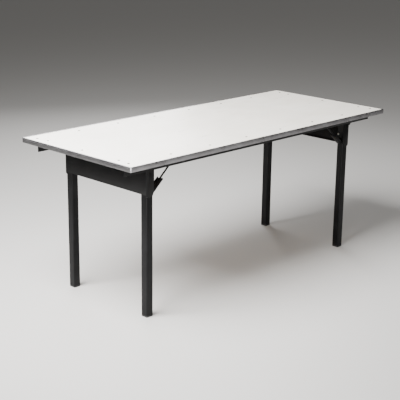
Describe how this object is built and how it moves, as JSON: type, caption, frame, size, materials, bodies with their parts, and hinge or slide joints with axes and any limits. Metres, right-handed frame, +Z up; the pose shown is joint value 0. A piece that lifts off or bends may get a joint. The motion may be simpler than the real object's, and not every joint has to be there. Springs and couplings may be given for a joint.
{
  "type": "folding table",
  "caption": "Rectangular table with a pale laminated top in a metal edge, on black square-tube leg frames that fold up under the top on stays.",
  "frame": {"origin": "on the floor under the middle of the table", "axes": "+X along the table's length, +Y across it, +Z up"},
  "size_m": [1.829, 0.762, 0.762],
  "materials": {
    "laminate": "smooth off-white laminate, satin",
    "board": "raw plywood",
    "aluminium": "satin extruded aluminium",
    "black_steel": "semi-gloss black powder coat",
    "zinc_steel": "zinc-plated steel",
    "black_plastic": "matt black moulded plastic"
  },
  "bodies": {
    "top": {"top_board": "board", "top_laminate": "laminate", "edge_trim_front": "aluminium", "edge_trim_back": "aluminium", "edge_trim_left": "aluminium", "edge_trim_right": "aluminium", "side_rail_front": "black_steel", "side_rail_back": "black_steel", "end_batten_left": "black_steel", "hinge_hanger_left_front": "black_steel", "hinge_pin_left_front": "black_steel", "hinge_nut_left_front": "zinc_steel", "stay_track_left_front": "zinc_steel", "hinge_hanger_left_back": "black_steel", "hinge_pin_left_back": "black_steel", "hinge_nut_left_back": "zinc_steel", "stay_track_left_back": "zinc_steel", "end_batten_right": "black_steel", "hinge_hanger_right_front": "black_steel", "hinge_pin_right_front": "black_steel", "hinge_nut_right_front": "zinc_steel", "stay_track_right_front": "zinc_steel", "hinge_hanger_right_back": "black_steel", "hinge_pin_right_back": "black_steel", "hinge_nut_right_back": "zinc_steel", "stay_track_right_back": "zinc_steel"},
    "leg_frame_left": {"apron_left": "black_steel", "leg_left_front": "black_steel", "foot_left_front": "black_plastic", "stay_bracket_left_front": "black_steel", "stay_pivot_pin_left_front": "black_steel", "leg_left_back": "black_steel", "foot_left_back": "black_plastic", "stay_bracket_left_back": "black_steel", "stay_pivot_pin_left_back": "black_steel"},
    "stay_left_front": {"stay_channel_left_front": "black_steel", "stay_rod_left_front": "black_steel", "stay_roller_left_front": "black_plastic"},
    "stay_left_back": {"stay_channel_left_back": "black_steel", "stay_rod_left_back": "black_steel", "stay_roller_left_back": "black_plastic"},
    "leg_frame_right": {"apron_right": "black_steel", "leg_right_front": "black_steel", "foot_right_front": "black_plastic", "stay_bracket_right_front": "black_steel", "stay_pivot_pin_right_front": "black_steel", "leg_right_back": "black_steel", "foot_right_back": "black_plastic", "stay_bracket_right_back": "black_steel", "stay_pivot_pin_right_back": "black_steel"},
    "stay_right_front": {"stay_channel_right_front": "black_steel", "stay_rod_right_front": "black_steel", "stay_roller_right_front": "black_plastic"},
    "stay_right_back": {"stay_channel_right_back": "black_steel", "stay_rod_right_back": "black_steel", "stay_roller_right_back": "black_plastic"}
  },
  "joints": [
    {"name": "fold_left", "type": "hinge", "parent": "top", "child": "leg_frame_left", "pos_m": [-0.7165, 0, 0.702], "axis": [0, -1, 0], "range_deg": [0, 90]},
    {"name": "stay_turn_left_front", "type": "hinge", "parent": "leg_frame_left", "child": "stay_left_front", "pos_m": [-0.6875, -0.262, 0.594], "axis": [0, -1, 0], "range_deg": [-132, 0]},
    {"name": "stay_turn_left_back", "type": "hinge", "parent": "leg_frame_left", "child": "stay_left_back", "pos_m": [-0.6875, 0.262, 0.594], "axis": [0, -1, 0], "range_deg": [-132, 0]},
    {"name": "fold_right", "type": "hinge", "parent": "top", "child": "leg_frame_right", "pos_m": [0.7165, 0, 0.702], "axis": [0, 1, 0], "range_deg": [0, 90]},
    {"name": "stay_turn_right_front", "type": "hinge", "parent": "leg_frame_right", "child": "stay_right_front", "pos_m": [0.6875, -0.262, 0.594], "axis": [0, 1, 0], "range_deg": [-132, 0]},
    {"name": "stay_turn_right_back", "type": "hinge", "parent": "leg_frame_right", "child": "stay_right_back", "pos_m": [0.6875, 0.262, 0.594], "axis": [0, 1, 0], "range_deg": [-132, 0]}
  ],
  "couplings": [
    {"joint": "stay_turn_left_front", "follows": "fold_left", "ratio": -1.4649},
    {"joint": "stay_turn_left_back", "follows": "fold_left", "ratio": -1.4649},
    {"joint": "stay_turn_right_front", "follows": "fold_right", "ratio": -1.4649},
    {"joint": "stay_turn_right_back", "follows": "fold_right", "ratio": -1.4649}
  ]
}
